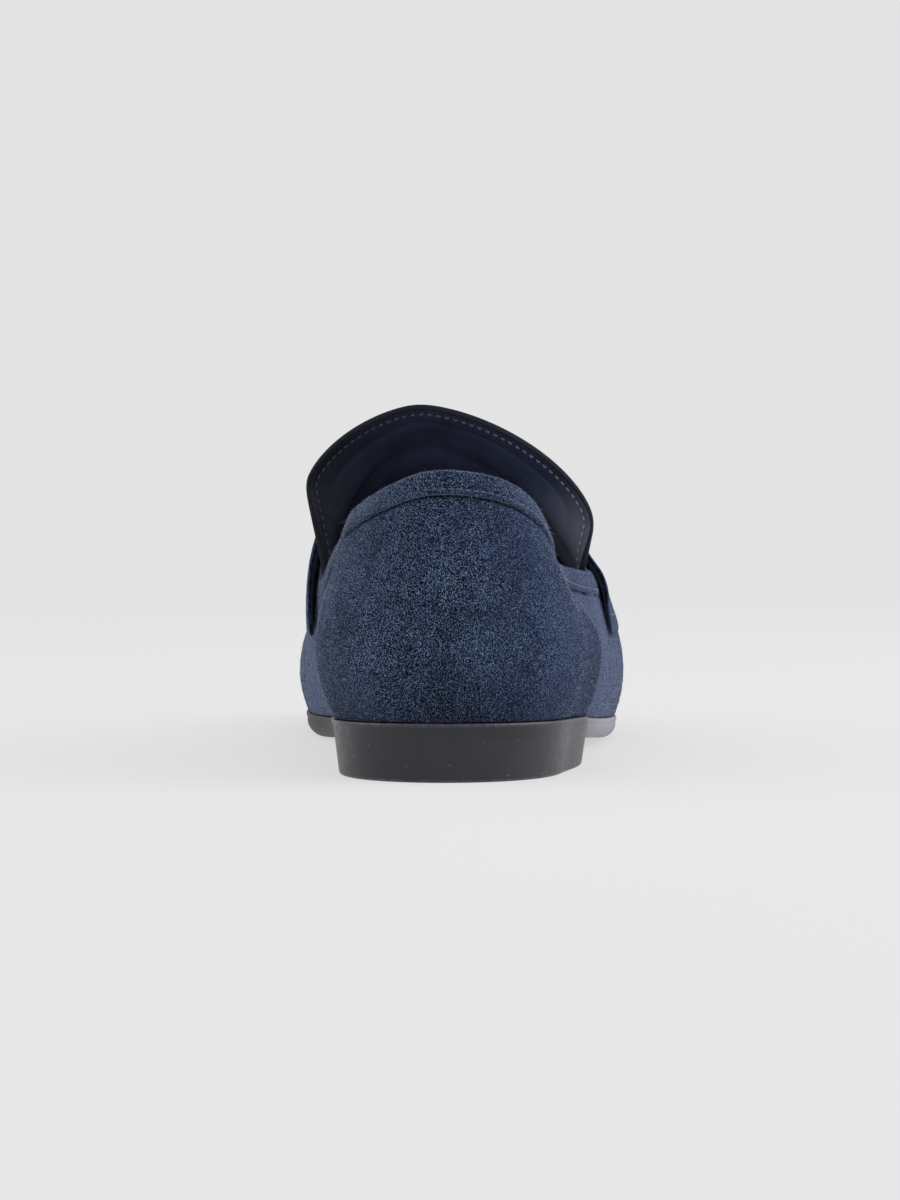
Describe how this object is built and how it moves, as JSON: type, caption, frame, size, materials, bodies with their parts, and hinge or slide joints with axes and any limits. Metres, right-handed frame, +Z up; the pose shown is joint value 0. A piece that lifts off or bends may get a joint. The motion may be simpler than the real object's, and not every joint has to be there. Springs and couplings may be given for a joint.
{
  "type": "suede strap loafer",
  "caption": "Navy suede slip-on loafer for the right foot with a flared lined tongue, saddle strap, bound topline and low heeled moulded sole.",
  "frame": {"origin": "middle of the shoe's box on the floor that it stands on", "axes": "+Y from heel to toe, +X to the outer side of the right foot, +Z up"},
  "size_m": [0.1038, 0.3018, 0.105],
  "materials": {
    "suede": "brushed nap, matt",
    "sole": "satin",
    "lining": "smooth, semi-matt",
    "footbed": "smooth, semi-matt"
  },
  "bodies": {
    "root": {"outsole": "sole", "insole": "footbed", "upper": "suede", "collar_binding": "suede", "tongue": "lining", "saddle_strap": "suede"}
  },
  "joints": []
}
